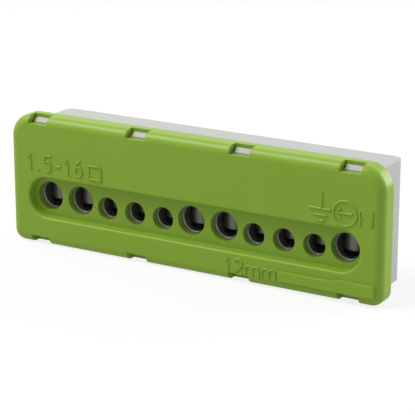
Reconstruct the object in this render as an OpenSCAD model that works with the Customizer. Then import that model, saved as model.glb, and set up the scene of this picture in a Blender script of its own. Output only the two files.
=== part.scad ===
// Earth terminal bar: a bored metal bar with eleven clamp screws, seated in a pale
// moulded base and closed by a green cover that snaps on.
//
// Wires enter along +Y through the cover, and the screws are driven along Z from the top.
// The origin is the middle of the bounding box's underside.  Depths inside the modules
// are counted from the cover's front face, and heights from the underside.

/* [Cover] */
// Width of the cover
cover_w = 83.6; // [82.6:0.1:84.6]
// Height of the cover
cover_h = 26.9; // [26.6:0.1:27.6]
// Depth of the cover from its front face to its rear rim
cover_d = 4.4; // [4.1:0.1:4.7]
// Thickness of the front panel and the side walls
cover_wall = 1.6; // [1.4:0.1:1.7]
// Radius of the rounded front edge
front_edge_r = 1.8; // [1.2:0.1:2.2]
// Radius of the two upper corners
top_corner_r = 4.8; // [4.2:0.1:5.4]
// Radius of the two lower corners
bottom_corner_r = 2.4; // [2.3:0.1:2.8]

/* [Recess and wire entries] */
// Depth of the recess that holds the wire entries
recess_depth = 2; // [1.8:0.1:2.1]
// Half height of the recess, measured at its wall
recess_r = 4.25; // [4.15:0.05:4.4]
// Half length of the recess, measured at its wall
recess_half_l = 37.3; // [37.0:0.1:37.6]
// Radius of the rounded lip round the recess
recess_lip_r = 0.4; // [0.2:0.05:0.5]
// Height of the large entries' axes above the underside
entry_z = 10.1; // [10.0:0.05:10.3]
// Radius of the large entries in the cover
large_entry_r = 3; // [2.8:0.05:3.1]
// Radius of the small entries in the cover
small_entry_r = 2.35; // [2.2:0.05:2.5]
// Pitch of the terminals
pitch = 6.5; // [6.4:0.05:6.6]
// Pitch between two large terminals
wide_pitch = 7.4; // [7.2:0.05:7.5]

/* [Strip-length gauge] */
// Length of the gauge's thin arm, which is the length of bare wire
strip_length = 12; // [10:0.5:13]
// Where the thin arm starts, right of the middle
gauge_x = 20.4; // [20:0.1:21]
// Height that the gauge stands proud of the front face
gauge_rise = 0.5; // [0.3:0.05:0.6]

/* [Base] */
// Width of the base
base_w = 76.6; // [76.4:0.1:77.2]
// Height of the base's top face above the underside
base_top_z = 24.8; // [24.6:0.05:24.9]
// Height of the base's bottom face above the underside
base_bottom_z = 0.7; // [0.5:0.05:0.8]
// Depth from the front face of the cover to the rear of the base
total_d = 16.5; // [16.3:0.1:17]
// Radius of the rear upright edges
rear_edge_r = 1.9; // [1.2:0.1:2.4]
// Radius of the two fixing holes in the bottom face
fixing_r = 1.5; // [1.3:0.05:1.6]

/* [Bar and clamp screws] */
// Height of the terminal bar
bar_h = 10.4; // [10.2:0.1:10.4]
// Depth of the terminal bar, along the wires
bar_d = 7.2; // [7.0:0.1:7.4]
// Radius of the large bores in the bar
large_bore_r = 2.6; // [2.5:0.05:2.6]
// Radius of the small bores in the bar
small_bore_r = 2; // [1.95:0.05:2.1]
// Height of the screws' tips above the underside
screw_tip_z = 8.45; // [8.45:0.05:9.4]

/* [Hidden] */
$fn = 64;

overcut = 1;            // how far a cut runs past the face that it opens
clearance = 0.1;        // gap between moulded pieces that slide together

// The depth of the bounding box runs from the gauge's face to the base's rear.
front_y = -(total_d - gauge_rise) / 2;

// Terminals: true stands for a large one, counted from the left.
is_large = [true, true, false, false, false, true, true, false, false, false, true];
terminals = [for (i = [0 : len(is_large) - 1]) i];
row_l = 8 * pitch + 2 * wide_pitch;
// Distance from terminal i to the next one
function step_after(i) = is_large[i] && is_large[i + 1] ? wide_pitch : pitch;
// Distance from the first terminal to terminal i
function run_to(i) = i == 0 ? 0 : run_to(i - 1) + step_after(i - 1);
function terminal_x(i) = run_to(i) - row_l / 2;
function entry_r(i) = is_large[i] ? large_entry_r : small_entry_r;
function bore_r(i) = is_large[i] ? large_bore_r : small_bore_r;
// The entries' lowest points stand in one line.
function terminal_z(i) = entry_z - large_entry_r + entry_r(i);

// Recess in the cover
recess_centre_x = recess_half_l - recess_r;
recess_draft = 0.1;                      // how much smaller the floor is than the wall
recess_skin = 1.5;                       // thickness of the recess's floor and walls
recess_back = recess_depth + recess_skin;

// Snap windows in the cover and the hooks that show in them
snap_xs = [-34.9, -11.6, 11.6, 34.9];
window_w = 4.5;
window_d = 2.8;
window_lip = 1.65;                       // from the cover's edge to the window's lip
hook_w = 3.9;
hook_toe_y = cover_wall + clearance;     // where a hook's sloping face starts
hook_back_y = window_d - 0.05;
hook_toe_rise = 0.6;
hook_rise = 1.35;

// Locating ribs between the cover's ends and the base
rib_t = 1.2;
rib_zs = [8, 19];

// Gauge
gauge_top_z = 3.85;                      // top of the thin arm
gauge_step = 0.45;                       // how much higher the stop stands
gauge_stop_l = 8.1;                      // length of the stop beside the arm
gauge_bottom_z = 1.9;

// Bar
bar_half_l = 37;
bar_bottom_z = entry_z - large_bore_r - 1.2;
bar_top_z = bar_bottom_z + bar_h;
bar_back_y = recess_back + bar_d;
bore_chamfer = 0.2;
screw_y = recess_back + bar_d / 2;

// Base
base_front_y = cover_wall + clearance;
base_seat_z = window_lip + clearance;    // underside of the part inside the cover
recess_gap_bottom_z = entry_z - recess_r - recess_skin - clearance;
recess_gap_top_z = entry_z + recess_r + recess_skin + clearance;
rear_wall = 1.2;
rear_chamfer_y = 1.4;
rear_chamfer_z = 2.3;
gallery_h = 7;                           // height of the space behind the bar
gallery_wall = 1.8;                      // thickness of the wall at each end of it
core_pitch = 8.5;                        // pitch of the pockets in the bottom face
core_w = 7.2;
core_front_y = 5.7;
core_back_y = 13.6;
core_top_z = bar_bottom_z - 1.3;
core_places = [-4, -2, -1, 0, 1, 2, 4];
fixing_places = [-3, 3];
fixing_depth = 4.2;

// Clamp screws: the thread is a plain cylinder of its outer radius.
thread_clearance = 0.05;
large_thread_r = 2.5;
small_thread_r = 2;
head_h = 2.4;
head_gap = 1.2;                          // from the bar's top to the head's underside
large_head_r = 2.85;
small_head_r = 2.3;
well_clearance = 0.15;
slot_w = 0.9;
slot_depth = 1.3;
cross_w = 0.7;
cross_l = 3.2;
tip_chamfer = 0.4;
head_chamfer = 0.3;
function thread_r(i) = is_large[i] ? large_thread_r : small_thread_r;
function head_r(i) = is_large[i] ? large_head_r : small_head_r;

// ---------- helpers ----------

// Extrudes a profile drawn in X and Z along Y, from depth y0 to depth y1.
module along_y(y0, y1) {
    translate([0, y1, 0]) rotate([90, 0, 0]) linear_extrude(y1 - y0) children();
}

// Extrudes a profile drawn in Y and Z along X, centred on x.
module along_x(x, length) {
    translate([x - length / 2, 0, 0]) rotate([90, 0, 90]) linear_extrude(length) children();
}

// A round bar or hole along Y, whose radius may change from r0 to r1.
module round_y(x, z, y0, y1, r0, r1) {
    translate([x, y0, z]) rotate([-90, 0, 0]) cylinder(h = y1 - y0, r1 = r0, r2 = r1);
}

// Turns a profile drawn in radius and depth round an axis along Y.
module turned_y(x, z) {
    translate([x, 0, z]) rotate([-90, 0, 0]) rotate_extrude() children();
}

// Moves depths counted from the cover's front face into the row's frame.
module from_front() {
    translate([0, front_y, 0]) children();
}

// ---------- cover ----------

// A rectangle of depth d whose front corner at the far end of u is rounded.
// u runs outwards from 0 to size, and depth runs along the second axis.
module rounded_edge_profile(size, d, r) {
    intersection() {
        square([size, d]);
        union() {
            translate([0, r]) square([size, d - r]);
            square([size - r, d]);
            translate([size - r, r]) circle(r);
        }
    }
}

// The band of the outer form between two corners, with a rounded front edge.
module edge_band(length, size) {
    translate([-length / 2, 0, 0]) rotate([90, 0, 90]) linear_extrude(length)
        mirror([1, -1, 0]) rounded_edge_profile(size, cover_d, front_edge_r);
}

// The cover's outer form: four turned corners joined by straight bands.
module cover_form() {
    top_x = cover_w / 2 - top_corner_r;
    bottom_x = cover_w / 2 - bottom_corner_r;
    mid_z = cover_h / 2;
    for (side = [-1, 1]) {
        turned_y(side * top_x, cover_h - top_corner_r)
            rounded_edge_profile(top_corner_r, cover_d, front_edge_r);
        turned_y(side * bottom_x, bottom_corner_r)
            rounded_edge_profile(bottom_corner_r, cover_d, front_edge_r);
    }
    translate([0, 0, mid_z]) edge_band(2 * top_x, mid_z);
    translate([0, 0, mid_z]) mirror([0, 0, 1]) edge_band(2 * bottom_x, mid_z);
    side_h = cover_h - top_corner_r - bottom_corner_r;
    for (side = [0, 1])
        mirror([side, 0, 0]) translate([0, 0, bottom_corner_r])
            linear_extrude(side_h) rounded_edge_profile(cover_w / 2, cover_d, front_edge_r);
}

// Outline of the cavity behind the front panel, drawn in X and Z.
module cavity_outline() {
    top_r = top_corner_r - cover_wall;
    bottom_r = bottom_corner_r - cover_wall;
    half_w = cover_w / 2 - cover_wall;
    low_z = window_lip;
    high_z = cover_h - window_lip;
    for (side = [-1, 1]) {
        translate([side * (half_w - top_r), high_z - top_r]) circle(top_r);
        translate([side * (half_w - bottom_r), low_z + bottom_r]) circle(bottom_r);
    }
    translate([-half_w, low_z + bottom_r]) square([2 * half_w, high_z - top_r - low_z - bottom_r]);
    translate([-half_w + top_r, high_z - 2 * top_r]) square([2 * (half_w - top_r), 2 * top_r]);
    translate([-half_w + bottom_r, low_z]) square([2 * (half_w - bottom_r), 2 * bottom_r]);
}

// Section of the recess in radius and depth, with its drafted wall and rounded lip.
module recess_profile() {
    lip_angles = [for (a = [0 : 15 : 90]) a];
    lip = [for (a = lip_angles)
        [recess_r + recess_lip_r * (1 - cos(a)), recess_lip_r * (1 - sin(a))]];
    polygon(concat(
        [[0, recess_depth], [recess_r - recess_draft, recess_depth]],
        lip,
        [[recess_r + recess_lip_r, -overcut], [0, -overcut]]));
}

// The recess itself: a straight trough with two turned ends.
module recess_cut() {
    for (side = [-1, 1])
        turned_y(side * recess_centre_x, entry_z) recess_profile();
    for (flip = [0, 1])
        translate([0, 0, entry_z]) mirror([0, 0, flip]) along_x(0, 2 * recess_centre_x)
            mirror([1, -1, 0]) recess_profile();
}

// The skin that wraps the recess on the inside of the cover.
module recess_skin_form() {
    outer_r = recess_r + recess_skin;
    along_y(cover_wall / 2, recess_back) {
        for (side = [-1, 1])
            translate([side * recess_centre_x, entry_z]) circle(outer_r);
        translate([-recess_centre_x, entry_z - outer_r])
            square([2 * recess_centre_x, 2 * outer_r]);
    }
}

// One wire entry through the recess's floor.
module entry_cut(i) {
    r = entry_r(i);
    round_y(terminal_x(i), terminal_z(i), recess_depth - overcut, recess_back + overcut, r, r);
}

// Snap windows along the upper and lower front edges.
module window_cuts() {
    for (x = snap_xs, z = [cover_h - window_lip, -overcut])
        translate([x - window_w / 2, -overcut, z])
            cube([window_w, window_d + overcut, window_lip + overcut]);
}

// The raised gauge: a thin arm as long as the bare wire, and a taller stop beside it.
module gauge() {
    arm_end = gauge_x + strip_length;
    stop_end = arm_end + gauge_stop_l;
    along_y(-gauge_rise, cover_wall / 2)
        polygon([[gauge_x, gauge_bottom_z],
                 [stop_end, gauge_bottom_z],
                 [stop_end, gauge_top_z + gauge_step],
                 [arm_end, gauge_top_z + gauge_step],
                 [arm_end, gauge_top_z],
                 [gauge_x, gauge_top_z]]);
}

// Ribs that centre the base between the cover's end walls.
module locating_ribs() {
    inner_x = base_w / 2 + clearance;
    outer_x = cover_w / 2 - cover_wall / 2;
    for (side = [0, 1], z = rib_zs)
        mirror([side, 0, 0]) translate([inner_x, cover_wall / 2, z - rib_t / 2])
            cube([outer_x - inner_x, cover_d - cover_wall / 2, rib_t]);
}

module cover() {
    color("yellowgreen") from_front() difference() {
        union() {
            difference() {
                cover_form();
                along_y(cover_wall, cover_d + overcut) cavity_outline();
            }
            recess_skin_form();
            locating_ribs();
            difference() {
                gauge();
                window_cuts();
            }
        }
        recess_cut();
        window_cuts();
        for (i = terminals) entry_cut(i);
    }
}

// ---------- base ----------

// Plan of the base between two depths, with rounded rear upright edges.
module base_plan() {
    half_w = base_w / 2;
    translate([-half_w, base_front_y]) square([base_w, total_d - base_front_y - rear_edge_r]);
    translate([-half_w + rear_edge_r, base_front_y])
        square([base_w - 2 * rear_edge_r, total_d - base_front_y]);
    for (side = [-1, 1])
        translate([side * (half_w - rear_edge_r), total_d - rear_edge_r]) circle(rear_edge_r);
}

// What is cut from the outside: the step that takes the cover's lower edge, the room
// for the recess's skin, and the sloping lower rear edge.
module base_outer_cuts() {
    long = base_w + 2 * overcut;
    along_x(0, long) {
        translate([base_front_y - overcut, base_bottom_z - overcut])
            square([cover_d - base_front_y + overcut, base_seat_z - base_bottom_z + overcut]);
        translate([base_front_y - overcut, recess_gap_bottom_z])
            square([recess_back + clearance - base_front_y + overcut,
                    recess_gap_top_z - recess_gap_bottom_z]);
        polygon([[total_d - rear_chamfer_y, base_bottom_z],
                 [total_d, base_bottom_z + rear_chamfer_z],
                 [total_d + overcut, base_bottom_z + rear_chamfer_z],
                 [total_d + overcut, base_bottom_z - overcut],
                 [total_d - rear_chamfer_y, base_bottom_z - overcut]]);
    }
}

// The seat of the bar, with a gallery behind it that takes the wires' ends, and a well
// over each screw.
module base_inner_cuts() {
    seat_half_l = bar_half_l + clearance;
    gallery_half_l = base_w / 2 - gallery_wall;
    translate([-seat_half_l, base_front_y - overcut, bar_bottom_z])
        cube([2 * seat_half_l, bar_back_y - base_front_y + overcut, bar_h + clearance]);
    translate([-gallery_half_l, screw_y, entry_z - gallery_h / 2])
        cube([2 * gallery_half_l, total_d - rear_wall - screw_y, gallery_h]);
    for (i = terminals) {
        translate([terminal_x(i), screw_y, bar_top_z - overcut])
            cylinder(h = base_top_z - bar_top_z + 2 * overcut, r = head_r(i) + well_clearance);
    }
}

// Pockets that lighten the bottom, and the two fixing holes between them.
module base_bottom_cuts() {
    for (k = core_places)
        translate([k * core_pitch - core_w / 2, core_front_y, base_bottom_z - overcut])
            cube([core_w, core_back_y - core_front_y, core_top_z - base_bottom_z + overcut]);
    fixing_y = (core_front_y + core_back_y) / 2;
    for (k = fixing_places)
        translate([k * core_pitch, fixing_y, base_bottom_z - overcut])
            cylinder(h = fixing_depth + overcut, r = fixing_r);
}

// One hook, drawn in depth and height above the base's face.
module hook_profile() {
    root = -0.5;
    polygon([[hook_toe_y, root],
             [hook_back_y, root],
             [hook_back_y, hook_rise],
             [hook_toe_y, hook_toe_rise]]);
}

// Four hooks along the top and four along the underside.
module hooks() {
    for (x = snap_xs) {
        translate([0, 0, base_top_z]) along_x(x, hook_w) hook_profile();
        translate([0, 0, base_seat_z]) mirror([0, 0, 1]) along_x(x, hook_w) hook_profile();
    }
}

module base() {
    color("gainsboro") from_front() {
        difference() {
            translate([0, 0, base_bottom_z]) linear_extrude(base_top_z - base_bottom_z) base_plan();
            base_outer_cuts();
            base_inner_cuts();
            base_bottom_cuts();
        }
        hooks();
    }
}

// ---------- terminal bar ----------

module terminal_bar() {
    color("silver") from_front() difference() {
        translate([-bar_half_l, recess_back, bar_bottom_z]) cube([2 * bar_half_l, bar_d, bar_h]);
        for (i = terminals) {
            x = terminal_x(i);
            z = terminal_z(i);
            r = bore_r(i);
            round_y(x, z, recess_back - overcut, bar_back_y + overcut, r, r);
            round_y(x, z, recess_back - bore_chamfer, recess_back + bore_chamfer,
                    r + 2 * bore_chamfer, r);
            // The threaded hole runs down to the bore's floor, so that a screw can reach it.
            translate([x, screw_y, z - r])
                cylinder(h = bar_top_z - z + r + overcut, r = thread_r(i));
        }
    }
}

// ---------- clamp screws ----------

// A clamp screw with a slotted and crossed head, standing on its tip.
module screw_form(r, head_radius, length) {
    head_base = length - head_h;
    difference() {
        union() {
            cylinder(h = tip_chamfer, r1 = r - tip_chamfer, r2 = r);
            translate([0, 0, tip_chamfer]) cylinder(h = head_base - tip_chamfer, r = r);
            translate([0, 0, head_base]) cylinder(h = head_h - head_chamfer, r = head_radius);
            translate([0, 0, length - head_chamfer])
                cylinder(h = head_chamfer, r1 = head_radius, r2 = head_radius - head_chamfer);
        }
        translate([-head_radius - overcut, -slot_w / 2, length - slot_depth])
            cube([2 * (head_radius + overcut), slot_w, slot_depth + overcut]);
        translate([-cross_w / 2, -cross_l / 2, length - slot_depth])
            cube([cross_w, cross_l, slot_depth + overcut]);
    }
}

module clamp_screw(i) {
    length = bar_top_z + head_gap + head_h - screw_tip_z;
    color("lightgray") from_front() translate([terminal_x(i), screw_y, screw_tip_z])
        screw_form(thread_r(i) - thread_clearance, head_r(i), length);
}

cover();
base();
terminal_bar();
clamp_screw(0);  // clamp_screw_1
clamp_screw(1);  // clamp_screw_2
clamp_screw(2);  // clamp_screw_3
clamp_screw(3);  // clamp_screw_4
clamp_screw(4);  // clamp_screw_5
clamp_screw(5);  // clamp_screw_6
clamp_screw(6);  // clamp_screw_7
clamp_screw(7);  // clamp_screw_8
clamp_screw(8);  // clamp_screw_9
clamp_screw(9);  // clamp_screw_10
clamp_screw(10);  // clamp_screw_11
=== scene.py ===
# %% [markdown]
# # An earth terminal bar
# A block that gathers the earth wires of a distribution board. A green moulded cover
# closes a pale moulded base, and between them lies a bored metal bar with eleven
# clamp screws. The CAD model is loaded first as a fixed frame: its shapes and sizes are
# right already, so this script adds finishes, lettering, light and a camera around it.

# %% Load the CAD model
import math

import bpy
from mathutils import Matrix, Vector


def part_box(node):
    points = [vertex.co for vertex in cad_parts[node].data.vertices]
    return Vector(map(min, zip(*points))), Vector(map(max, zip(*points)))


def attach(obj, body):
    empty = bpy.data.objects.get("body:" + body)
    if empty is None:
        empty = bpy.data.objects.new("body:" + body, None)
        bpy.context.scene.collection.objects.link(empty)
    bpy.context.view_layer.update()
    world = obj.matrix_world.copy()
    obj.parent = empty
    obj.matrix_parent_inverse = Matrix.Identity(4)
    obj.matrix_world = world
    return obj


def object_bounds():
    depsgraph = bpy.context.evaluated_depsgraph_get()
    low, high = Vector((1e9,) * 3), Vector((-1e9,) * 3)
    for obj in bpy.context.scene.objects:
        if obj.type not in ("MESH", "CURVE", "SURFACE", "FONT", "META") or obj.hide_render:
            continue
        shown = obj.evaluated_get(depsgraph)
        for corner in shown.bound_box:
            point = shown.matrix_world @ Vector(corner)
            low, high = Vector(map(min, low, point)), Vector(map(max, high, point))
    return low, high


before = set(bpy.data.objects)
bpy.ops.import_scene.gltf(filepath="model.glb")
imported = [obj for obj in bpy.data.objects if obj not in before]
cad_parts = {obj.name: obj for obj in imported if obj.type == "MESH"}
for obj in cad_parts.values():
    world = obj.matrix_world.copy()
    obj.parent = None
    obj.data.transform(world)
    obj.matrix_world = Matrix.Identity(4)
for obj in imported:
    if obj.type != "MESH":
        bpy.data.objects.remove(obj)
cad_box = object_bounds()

print("CAD nodes:", ", ".join(sorted(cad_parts)))
print("CAD box in mm:", [[round(1000 * v, 2) for v in corner] for corner in cad_box])

# %% [markdown]
# ## Places on the block
# Blender works in metres, and a block this small is easier to think of in millimetres.
# Everything on the front is placed from two planes: the cover's front face and its
# middle height. Both come from the cover's CAD box. That box starts at the raised gauge,
# so the face itself lies half a millimetre behind it.

# %% Places on the block
MM = 0.001
cover_low, cover_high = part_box("cover")
GAUGE_RISE = 0.5 * MM
front_y = cover_low[1] + GAUGE_RISE
middle_z = (cover_low[2] + cover_high[2]) / 2
print("front face at y = %.2f mm, middle height %.2f mm" % (front_y / MM, middle_z / MM))


def on_front(x, z, rise=0.0):
    """A point on the cover's front face, given in mm from the middle of the face."""
    return Vector((x * MM, front_y - rise * MM, middle_z + z * MM))


# %% [markdown]
# ## Shader maths as Python
# A material is a graph of nodes, and wiring it by hand is long-winded. `Signal` wraps
# one output socket, so that `1 - mask * 0.3` adds the Math nodes by itself. `Finish`
# holds one material and adds any other node in a single call.

# %% Signal and Finish
class Signal:
    """A node's output that can be used in ordinary arithmetic."""

    def __init__(self, finish, socket):
        self.finish = finish
        self.socket = socket

    def math(self, operation, *values):
        settings = {"operation": operation}
        return self.finish.node("ShaderNodeMath", settings, dict(enumerate(values)))

    def __add__(self, other):
        return self.math("ADD", self, other)

    def __sub__(self, other):
        return self.math("SUBTRACT", self, other)

    def __rsub__(self, other):
        return self.math("SUBTRACT", other, self)

    def __mul__(self, other):
        return self.math("MULTIPLY", self, other)

    __radd__ = __add__
    __rmul__ = __mul__


class Finish:
    """One material, with a Principled shader and one method that adds other nodes."""

    def __init__(self, name):
        self.material = bpy.data.materials.new(name)
        self.material.use_nodes = True
        self.tree = self.material.node_tree
        self.shader = self.tree.nodes["Principled BSDF"]
        self.place = self.node("ShaderNodeTexCoord", {}, {}, "Object")

    def node(self, kind, settings, sockets, output=0):
        node = self.tree.nodes.new(kind)
        for key, value in settings.items():
            setattr(node, key, value)
        for key, value in sockets.items():
            self.feed(node.inputs[key], value)
        return Signal(self, node.outputs[output])

    def feed(self, socket, value):
        if isinstance(value, Signal):
            self.tree.links.new(value.socket, socket)
        else:
            socket.default_value = value

    def set(self, **sockets):
        for name, value in sockets.items():
            self.feed(self.shader.inputs[name.replace("_", " ")], value)

    def noise(self, size_mm, detail=2.0):
        """Soft random values from 0 to 1 whose blobs are about size_mm across."""
        sockets = {"Vector": self.place, "Scale": 1 / (size_mm * MM), "Detail": detail}
        return self.node("ShaderNodeTexNoise", {}, sockets)

    def blend(self, factor, colour_a, colour_b):
        """Colour a where the factor is 0 and colour b where it is 1."""
        sockets = {0: factor, 6: (*colour_a, 1), 7: (*colour_b, 1)}
        return self.node("ShaderNodeMix", {"data_type": "RGBA"}, sockets, 2)

    def relief(self, height, depth_mm, edge_mm=0.0):
        """A bump of the given depth, over edges that are rounded by edge_mm."""
        sockets = {"Height": height, "Distance": depth_mm * MM}
        if edge_mm:
            edge = {"Radius": edge_mm * MM}
            sockets["Normal"] = self.node("ShaderNodeBevel", {"samples": 6}, edge)
        return self.node("ShaderNodeBump", {}, sockets)


print("Signal and Finish are ready")

# %% [markdown]
# ## Green moulded plastic
# The cover is moulded in a yellowish green. Its tool was spark-eroded, which leaves a
# fine satin grain, so the shine is broad and soft. A slow drift in colour and gloss
# keeps large faces from looking painted by a computer, and the Bevel node rounds the
# edges in the shading alone, where a moulding has a radius of about a tenth of a
# millimetre.

# %% Green moulded plastic
green = Finish("green_plastic")
drift = green.noise(9.0)
grain = green.noise(0.16, 3.0)
green.set(
    Base_Color=green.blend(drift, (0.218, 0.362, 0.028), (0.232, 0.380, 0.032)),
    Roughness=0.30 + grain * 0.06,
    Specular_IOR_Level=0.22,
    Normal=green.relief(grain, 0.006, 0.20),
)
print("green plastic has", len(green.tree.nodes), "nodes")

# %% [markdown]
# ## Pale moulded plastic
# The base is a pale, slightly warm grey. It is glossier than the cover, and its grain
# is finer, because it sits behind and was never meant to be looked at.

# %% Pale moulded plastic
pale = Finish("pale_plastic")
drift = pale.noise(12.0)
grain = pale.noise(0.2, 3.0)
pale.set(
    Base_Color=pale.blend(drift, (0.410, 0.415, 0.395), (0.435, 0.440, 0.420)),
    Specular_IOR_Level=0.25,
    Roughness=0.40 + grain * 0.10,
    Normal=pale.relief(grain, 0.005, 0.12),
)
print("pale plastic has", len(pale.tree.nodes), "nodes")

# %% [markdown]
# ## Plated metal
# The bar is sawn from drawn stock and plated. Stretched noise gives the faint lines
# that drawing leaves along it. Both finishes are kept a little short of fully metallic,
# because a dull plated surface also scatters some light.

# %% Plated bar
plated = Finish("plated_bar")
along = plated.node(
    "ShaderNodeMapping", {}, {"Vector": plated.place, "Scale": (0.03, 1.0, 1.0)}
)
lines = plated.node(
    "ShaderNodeTexNoise", {}, {"Vector": along, "Scale": 1 / (0.25 * MM), "Detail": 3.0}
)
stain = plated.noise(4.0)
plated.set(
    Base_Color=plated.blend(stain, (0.19, 0.19, 0.17), (0.23, 0.23, 0.21)),
    Metallic=0.75,
    Roughness=0.36 + lines * 0.16,
    Normal=plated.relief(lines, 0.004, 0.08),
)
print("plated bar has", len(plated.tree.nodes), "nodes")

# %% [markdown]
# ## Turned screws
# The screws are turned and plated. The CAD leaves their threads plain, so a bump that
# rises and falls once in each turn stands in for them, above a plain tip.

# %% Turned screws
turned = Finish("turned_screw")
THREAD_PITCH = 0.8 * MM
PLAIN_TIP_Z = 13.0 * MM
height = turned.node("ShaderNodeSeparateXYZ", {}, {"Vector": turned.place}, "Z")
turns = height * (1 / THREAD_PITCH)
ridge = turns.math("PINGPONG", turns, 0.5)
threaded = height.math("GREATER_THAN", height, PLAIN_TIP_Z)
scuff = turned.noise(0.6, 3.0)
turned.set(
    Base_Color=turned.blend(scuff, (0.155, 0.150, 0.142), (0.195, 0.190, 0.180)),
    Metallic=0.85,
    Roughness=0.34 + scuff * 0.12,
    Normal=turned.relief(ridge * threaded, 0.35, 0.08),
)
print("turned screw has", len(turned.tree.nodes), "nodes")

# %% [markdown]
# ## Dress the CAD pieces
# The CAD meshes keep their shape. Smooth shading hides the facets of their rounded
# edges, and a sharpness limit keeps the real corners crisp.

# %% Dress the CAD pieces
SHARP_ANGLE = math.radians(28)
finishes = {"cover": green, "base": pale, "terminal_bar": plated}
for name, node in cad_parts.items():
    finish = finishes.get(name, turned)
    node.data.materials.clear()
    node.data.materials.append(finish.material)
    node.data.shade_smooth()
    node.data.set_sharp_from_angle(angle=SHARP_ANGLE)
print("dressed", len(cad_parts), "CAD nodes")

# %% [markdown]
# ## Raised lettering
# The cover carries its markings as thin raised lines, moulded with it in the same
# green, so they are read by their light and shade alone. Each line is a curve with a
# round section that lies half sunk in the face. The characters are plain strokes: a
# character is a list of polylines in a cell one unit wide and one unit high.

# %% Strokes
LINE_R = 0.24  # mm, half the width of a raised line


def arc(x, z, rx, rz, start, end, steps=14):
    """Points of an arc round (x, z), with the angles in degrees, from the right."""
    turn = [math.radians(start + (end - start) * k / steps) for k in range(steps + 1)]
    return [(x + rx * math.cos(t), z + rz * math.sin(t)) for t in turn]


GLYPHS = {
    "1": [[(0.15, 0.74), (0.55, 1.0), (0.55, 0.0)]],
    "2": [arc(0.5, 0.70, 0.42, 0.30, 160, -25) + [(0.08, 0.0), (0.95, 0.0)]],
    "5": [[(0.90, 1.0), (0.20, 1.0), (0.13, 0.56)] + arc(0.46, 0.33, 0.44, 0.33, 120, -145)],
    "6": [arc(0.5, 0.31, 0.42, 0.31, 0, 360), arc(0.92, 0.33, 0.84, 0.67, 100, 178)],
    ".": [[(0.45, 0.0), (0.55, 0.0)]],
    "-": [[(0.10, 0.42), (0.90, 0.42)]],
    "m": [[(0.0, 0.0), (0.0, 0.68)],
          arc(0.25, 0.43, 0.25, 0.25, 180, 0, 8) + [(0.5, 0.0)],
          arc(0.75, 0.43, 0.25, 0.25, 180, 0, 8) + [(1.0, 0.0)]],
    "N": [[(0.0, 0.0), (0.0, 1.0), (1.0, 0.0), (1.0, 1.0)]],
}


def raise_lines(name, lines):
    """Raises polylines, given in mm from the middle of the face, as one mesh."""
    curve = bpy.data.curves.new(name, "CURVE")
    curve.dimensions = "3D"
    curve.bevel_depth = LINE_R * MM
    curve.bevel_resolution = 2
    curve.use_fill_caps = True
    for line in lines:
        spline = curve.splines.new("POLY")
        spline.points.add(len(line) - 1)
        for point, (x, z) in zip(spline.points, line):
            point.co = (*on_front(x, z), 1.0)
    drawn = bpy.data.objects.new(name, curve)
    mesh = bpy.data.meshes.new_from_object(drawn)
    raised = bpy.data.objects.new(name, mesh)
    bpy.data.objects.remove(drawn)
    bpy.context.collection.objects.link(raised)
    mesh.materials.clear()
    mesh.materials.append(green.material)
    mesh.shade_smooth()
    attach(raised, "block")
    print(name, "has", len(mesh.polygons), "faces")


def write(name, text, x, z, height, widths, gap):
    """Raises a line of text that starts at (x, z), each character in its own width."""
    lines = []
    for character in text:
        width = widths.get(character, widths["other"])
        for stroke in GLYPHS[character]:
            lines.append([(x + u * width, z + v * height) for u, v in stroke])
        x += width + gap
    raise_lines(name, lines)


# %% [markdown]
# ## What the markings say
# The range of wire sizes stands above the left end of the row, with a square for square
# millimetres. The length of bare wire stands beside the gauge. At the right end are the
# sign for earth, an arrow in a ring, and the letter of the neutral conductor.

# %% Markings
SIZE_WIDTHS = {".": 0.9, "-": 1.5, "1": 1.7, "other": 2.0}
write("wire_range", "1.5-16", -37.6, 2.3, 3.3, SIZE_WIDTHS, 0.75)
raise_lines("square_sign", [
    [(-22.5, 2.2), (-22.5, 5.0), (-19.6, 5.0), (-19.6, 2.2), (-22.5, 2.2)],
])
LENGTH_WIDTHS = {"1": 1.4, "m": 2.9, "other": 1.9}
write("strip_length", "12mm", 8.7, -11.7, 3.0, LENGTH_WIDTHS, 0.65)
raise_lines("earth_sign", [
    [(29.3, 7.4), (29.3, 4.2)],
    [(26.6, 4.2), (31.2, 4.2)],
    [(27.5, 3.0), (30.6, 3.0)],
    [(28.4, 1.9), (29.9, 1.9)],
])
raise_lines("arrow_in_ring", [
    arc(34.1, 4.0, 2.4, 2.4, 0, 360, 32),
    [(32.3, 4.0), (35.6, 4.0)],
    [(33.3, 5.0), (32.3, 4.0), (33.3, 3.0)],
])
write("neutral_letter", "N", 37.2, 2.2, 3.0, {"other": 2.5}, 0.0)

# %% [markdown]
# ## Floor and surroundings
# The floor is white to the camera, which gives a plain studio ground. To other rays it
# is a mid grey, so the block isn't flooded from below. Part of the floor's own shading
# is kept, and with it the block's soft shadow.

# %% Floor
FLOOR_SIZE = 12.0
DARK_PAPER = (0.5, 0.5, 0.5)
WHITE_PAPER = (0.8, 0.8, 0.8)
GLOW_ALWAYS = 0.36
GLOW_SEEN = 0.46
bpy.ops.mesh.primitive_plane_add(size=FLOOR_SIZE, location=(0, 0, cad_box[0][2]))
floor = bpy.context.object
floor.name = "floor"
ground = Finish("white_ground")
seen = ground.node("ShaderNodeLightPath", {}, {}, "Is Camera Ray")
tone = ground.blend(seen, DARK_PAPER, WHITE_PAPER)
paper = ground.node("ShaderNodeBsdfDiffuse", {}, {"Color": tone})
glow = ground.node("ShaderNodeEmission", {}, {"Color": (1, 1, 1, 1), "Strength": 1.0})
share = GLOW_ALWAYS + seen * GLOW_SEEN
surface = ground.node("ShaderNodeMixShader", {}, {0: share, 1: paper, 2: glow})
ground.tree.nodes.remove(ground.shader)
ground.tree.links.new(surface.socket, ground.tree.nodes["Material Output"].inputs["Surface"])
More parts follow.
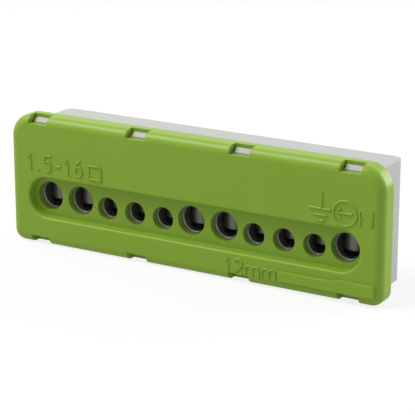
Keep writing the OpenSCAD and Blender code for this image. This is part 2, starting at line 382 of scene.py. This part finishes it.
floor.data.materials.append(ground.material)
print("floor laid at z =", round(cad_box[0][2] / MM, 3), "mm")

# %% [markdown]
# ## Sky
# The sky is an even light from all sides. It is white to the camera and in reflections,
# and weaker where it lights the block, which leaves room for the lamps.

# %% Sky
AMBIENT = 0.45
world = bpy.data.worlds.new("studio")
bpy.context.scene.world = world
world.use_nodes = True
sky = world.node_tree
paths = sky.nodes.new("ShaderNodeLightPath")
level = sky.nodes.new("ShaderNodeMapRange")
shown = paths.outputs["Is Camera Ray"]
for ray in ("Is Glossy Ray", "Is Transmission Ray"):
    either = sky.nodes.new("ShaderNodeMath")
    either.operation = "MAXIMUM"
    sky.links.new(shown, either.inputs[0])
    sky.links.new(paths.outputs[ray], either.inputs[1])
    shown = either.outputs[0]
level.inputs["To Min"].default_value = AMBIENT
level.inputs["To Max"].default_value = 1.0
sky.links.new(shown, level.inputs["Value"])
sky.links.new(level.outputs["Result"], sky.nodes["Background"].inputs["Strength"])
sky.nodes["Background"].inputs["Color"].default_value = (1, 1, 1, 1)
print("ambient level", AMBIENT)

# %% [markdown]
# ## Lamps
# Two soft boxes model the form. The first hangs above, to the left and a little in
# front, and lights the top, the rounded upper edge and the lower wall of the recess.
# The other stands behind at the right and lifts the end face, so that the front stays
# the darkest of the three.

# %% Lamps
centre = (Vector(cad_box[0]) + Vector(cad_box[1])) / 2


def soft_box(name, direction, distance, size, power):
    """A square area lamp that faces the middle of the block."""
    lamp = bpy.data.lights.new(name, "AREA")
    lamp.shape = "SQUARE"
    lamp.size = size
    lamp.energy = power
    holder = bpy.data.objects.new(name, lamp)
    bpy.context.collection.objects.link(holder)
    towards = Vector(direction).normalized()
    holder.location = centre + towards * distance
    holder.rotation_euler = towards.to_track_quat("Z", "Y").to_euler()
    print(name, [round(v, 2) for v in holder.location], "m,", power, "W")


LAMP_DISTANCE = 0.6
soft_box("top_box", (-0.48, -0.27, 0.83), LAMP_DISTANCE, 0.34, 3.3)
soft_box("side_box", (0.60, 0.75, 0.28), LAMP_DISTANCE, 0.40, 3.4)

# %% [markdown]
# ## Camera
# The block is seen from the front, 30 degrees to its right and 17 degrees above. The
# lens is long, so the far end shrinks only a little. The camera's direction is written
# as two angles round an aiming point just right of the middle of the front face.

# %% Camera
AZIMUTH = math.radians(30.27)
ELEVATION = math.radians(17.24)
DISTANCE = 339.1 * MM
camera_data = bpy.data.cameras.new("camera")
camera_data.sensor_width = 36.0
camera_data.lens = 152.99
camera_data.clip_start = 0.01
camera = bpy.data.objects.new("camera", camera_data)
bpy.context.collection.objects.link(camera)
aim = on_front(4.85, 0.60)
away = Vector((
    math.sin(AZIMUTH) * math.cos(ELEVATION),
    -math.cos(AZIMUTH) * math.cos(ELEVATION),
    math.sin(ELEVATION),
))
camera.location = aim + away * DISTANCE
camera.rotation_euler = away.to_track_quat("Z", "Y").to_euler()
bpy.context.scene.camera = camera
bpy.context.scene.view_settings.view_transform = "Standard"
print("camera at", [round(v / MM, 1) for v in camera.location], "mm")

# %% [markdown]
# ## End
# The CAD box is printed above, where the model is loaded.

# %% End
print("scene is set")
